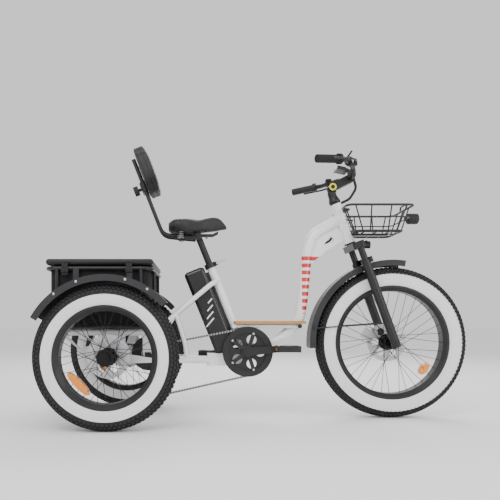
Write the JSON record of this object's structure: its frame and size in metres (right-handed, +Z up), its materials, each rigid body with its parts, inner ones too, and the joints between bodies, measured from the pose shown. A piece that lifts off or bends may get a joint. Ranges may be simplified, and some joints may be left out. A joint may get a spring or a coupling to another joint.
{
  "type": "adult tricycle",
  "caption": "Step-through adult tricycle with fat tyres, electric assist, a cargo box behind, a front basket and a backrest.",
  "frame": {"origin": "on the ground, at the middle of the whole tricycle's length and width", "axes": "+X forward, +Y to the rider's left, +Z up"},
  "size_m": [1.8694, 0.81, 1.2168],
  "materials": {
    "frame_paint": "gloss",
    "black_metal": "satin",
    "pad_cover": "matt",
    "black_steel": "satin",
    "steel": "satin",
    "aluminium": "satin",
    "deck_wood": "satin",
    "tyre_rubber": "matt",
    "grip_rubber": "matt",
    "black_plastic": "matt",
    "gloss_black": "gloss",
    "saddle_cover": "matt",
    "box_fabric": "matt"
  },
  "bodies": {
    "frame": {"front_frame": "frame_paint", "headset_bearings": "steel", "deck_frame": "frame_paint", "deck_board": "deck_wood", "rear_frame": "frame_paint", "axle_mounts": "black_steel", "rear_derailleur": "black_metal", "main_chain": "steel", "drive_chain": "steel", "bottom_bracket": "aluminium", "battery_base": "black_plastic", "seat_clamp": "black_metal", "cargo_basket": "black_metal", "cargo_box": "box_fabric", "right_rear_fender": "black_plastic", "left_rear_fender": "black_plastic", "front_basket": "black_metal", "headlight": "black_plastic", "frame_cables": "grip_rubber"},
    "battery": {"battery": "gloss_black"},
    "cargo_lid": {"cargo_lid": "box_fabric"},
    "seat_clamp_lever": {"seat_clamp_lever": "aluminium"},
    "seat": {"seat_post": "black_metal", "seat_frame": "black_metal", "saddle": "saddle_cover"},
    "backrest": {"backrest_plate": "black_metal", "backrest_pad": "pad_cover"},
    "backrest_knob": {"backrest_knob": "black_plastic"},
    "steering": {"fork_upper": "black_metal", "stem_base": "black_metal", "control_cables": "grip_rubber"},
    "handlebar": {"stem_arm": "black_metal", "handlebar": "black_metal", "bar_controls": "black_plastic"},
    "throttle_grip": {"throttle_grip": "grip_rubber"},
    "left_brake_lever": {"left_brake_lever": "aluminium"},
    "right_brake_lever": {"right_brake_lever": "aluminium"},
    "shift_lever": {"shift_lever": "black_plastic"},
    "fork_lowers": {"fork_lowers": "black_metal", "front_fender": "black_plastic", "front_caliper": "aluminium"},
    "front_wheel": {"front_tyre": "tyre_rubber", "front_rim": "black_metal", "front_hub": "aluminium", "front_spokes": "steel"},
    "right_rear_wheel": {"right_rear_tyre": "tyre_rubber", "right_rear_rim": "black_metal", "right_rear_hub": "aluminium", "right_rear_spokes": "steel"},
    "left_rear_wheel": {"left_rear_tyre": "tyre_rubber", "left_rear_rim": "black_metal", "left_rear_hub": "aluminium", "left_rear_spokes": "steel"},
    "crank": {"chainring": "steel", "crank_arms": "black_metal"},
    "right_pedal": {"right_pedal": "black_plastic"},
    "left_pedal": {"left_pedal": "black_plastic"},
    "freewheel": {"freewheel": "steel"},
    "hub_motor": {"hub_motor": "black_metal"},
    "differential": {"differential": "black_steel"}
  },
  "joints": [
    {"name": "battery_slide", "type": "slide", "parent": "frame", "child": "battery", "axis": [-0.3762, 0, 0.9265], "range_m": [0, 0.06]},
    {"name": "cargo_lid_hinge", "type": "hinge", "parent": "frame", "child": "cargo_lid", "pos_m": [-0.468, 0, 0.669], "axis": [0, 1, 0], "range_deg": [0, 60]},
    {"name": "seat_clamp_lever_hinge", "type": "hinge", "parent": "frame", "child": "seat_clamp_lever", "pos_m": [-0.19429, -0.015, 0.69966], "axis": [-0.3762, 0, 0.9265], "range_deg": [-110, 0]},
    {"name": "seat_height", "type": "slide", "parent": "frame", "child": "seat", "axis": [-0.3762, 0, 0.9265], "range_m": [-0.02, 0.06]},
    {"name": "backrest_height", "type": "slide", "parent": "seat", "child": "backrest", "axis": [-0.3649, 0, 0.9311], "range_m": [-0.05, 0.05]},
    {"name": "backrest_knob_turn", "type": "hinge", "parent": "backrest", "child": "backrest_knob", "pos_m": [-0.5366, 0, 1.03554], "axis": [0.9311, 0, 0.3649], "range_deg": [-180, 180]},
    {"name": "steering_turn", "type": "hinge", "parent": "frame", "child": "steering", "pos_m": [0.34699, 0, 0.96808], "axis": [-0.342, 0, 0.9397], "range_deg": [-40, 40]},
    {"name": "stem_tilt", "type": "hinge", "parent": "steering", "child": "handlebar", "pos_m": [0.33, 0, 1.043], "axis": [0, 1, 0], "range_deg": [-10, 10]},
    {"name": "throttle_twist", "type": "hinge", "parent": "handlebar", "child": "throttle_grip", "pos_m": [0.33, -0.25, 1.107], "axis": [-0.8892, -0.4446, -0.1076], "range_deg": [-60, 0], "stiffness_Nm_per_rad": 0.5},
    {"name": "left_brake_squeeze", "type": "hinge", "parent": "handlebar", "child": "left_brake_lever", "pos_m": [0.384, 0.205, 1.107], "axis": [0, 0, 1], "range_deg": [0, 7], "stiffness_Nm_per_rad": 4},
    {"name": "right_brake_squeeze", "type": "hinge", "parent": "handlebar", "child": "right_brake_lever", "pos_m": [0.384, -0.205, 1.107], "axis": [0, 0, -1], "range_deg": [0, 7], "stiffness_Nm_per_rad": 4},
    {"name": "shift_lever_press", "type": "hinge", "parent": "handlebar", "child": "shift_lever", "pos_m": [0.356, -0.2, 1.133], "axis": [0, 1, 0], "range_deg": [0, 20], "stiffness_Nm_per_rad": 0.5},
    {"name": "fork_travel", "type": "slide", "parent": "steering", "child": "fork_lowers", "axis": [-0.342, 0, 0.9397], "range_m": [0, 0.035], "stiffness_N_per_m": 20000, "springref_m": -0.02},
    {"name": "front_wheel_spin", "type": "hinge", "parent": "fork_lowers", "child": "front_wheel", "pos_m": [0.59425, 0, 0.3405], "axis": [0, 1, 0], "continuous": true},
    {"name": "right_rear_wheel_spin", "type": "hinge", "parent": "frame", "child": "right_rear_wheel", "pos_m": [-0.64275, -0.35, 0.292], "axis": [0, 1, 0], "continuous": true},
    {"name": "left_rear_wheel_spin", "type": "hinge", "parent": "frame", "child": "left_rear_wheel", "pos_m": [-0.64275, 0.35, 0.292], "axis": [0, 1, 0], "continuous": true},
    {"name": "crank_spin", "type": "hinge", "parent": "frame", "child": "crank", "pos_m": [-0.057, 0, 0.3], "axis": [0, 1, 0], "continuous": true},
    {"name": "right_pedal_spin", "type": "hinge", "parent": "crank", "child": "right_pedal", "pos_m": [0.11222, -0.131, 0.31629], "axis": [0, 1, 0], "continuous": true},
    {"name": "left_pedal_spin", "type": "hinge", "parent": "crank", "child": "left_pedal", "pos_m": [-0.22622, 0.131, 0.28371], "axis": [0, 1, 0], "continuous": true},
    {"name": "freewheel_spin", "type": "hinge", "parent": "frame", "child": "freewheel", "pos_m": [-0.5, 0, 0.292], "axis": [0, 1, 0], "continuous": true},
    {"name": "hub_motor_spin", "type": "hinge", "parent": "frame", "child": "hub_motor", "pos_m": [-0.5, 0, 0.292], "axis": [0, 1, 0], "continuous": true},
    {"name": "differential_spin", "type": "hinge", "parent": "frame", "child": "differential", "pos_m": [-0.64275, 0, 0.292], "axis": [0, 1, 0], "continuous": true}
  ],
  "couplings": [
    {"joint": "freewheel_spin", "follows": "crank_spin", "ratio": 3.6842},
    {"joint": "differential_spin", "follows": "hub_motor_spin", "ratio": 0.7125}
  ]
}
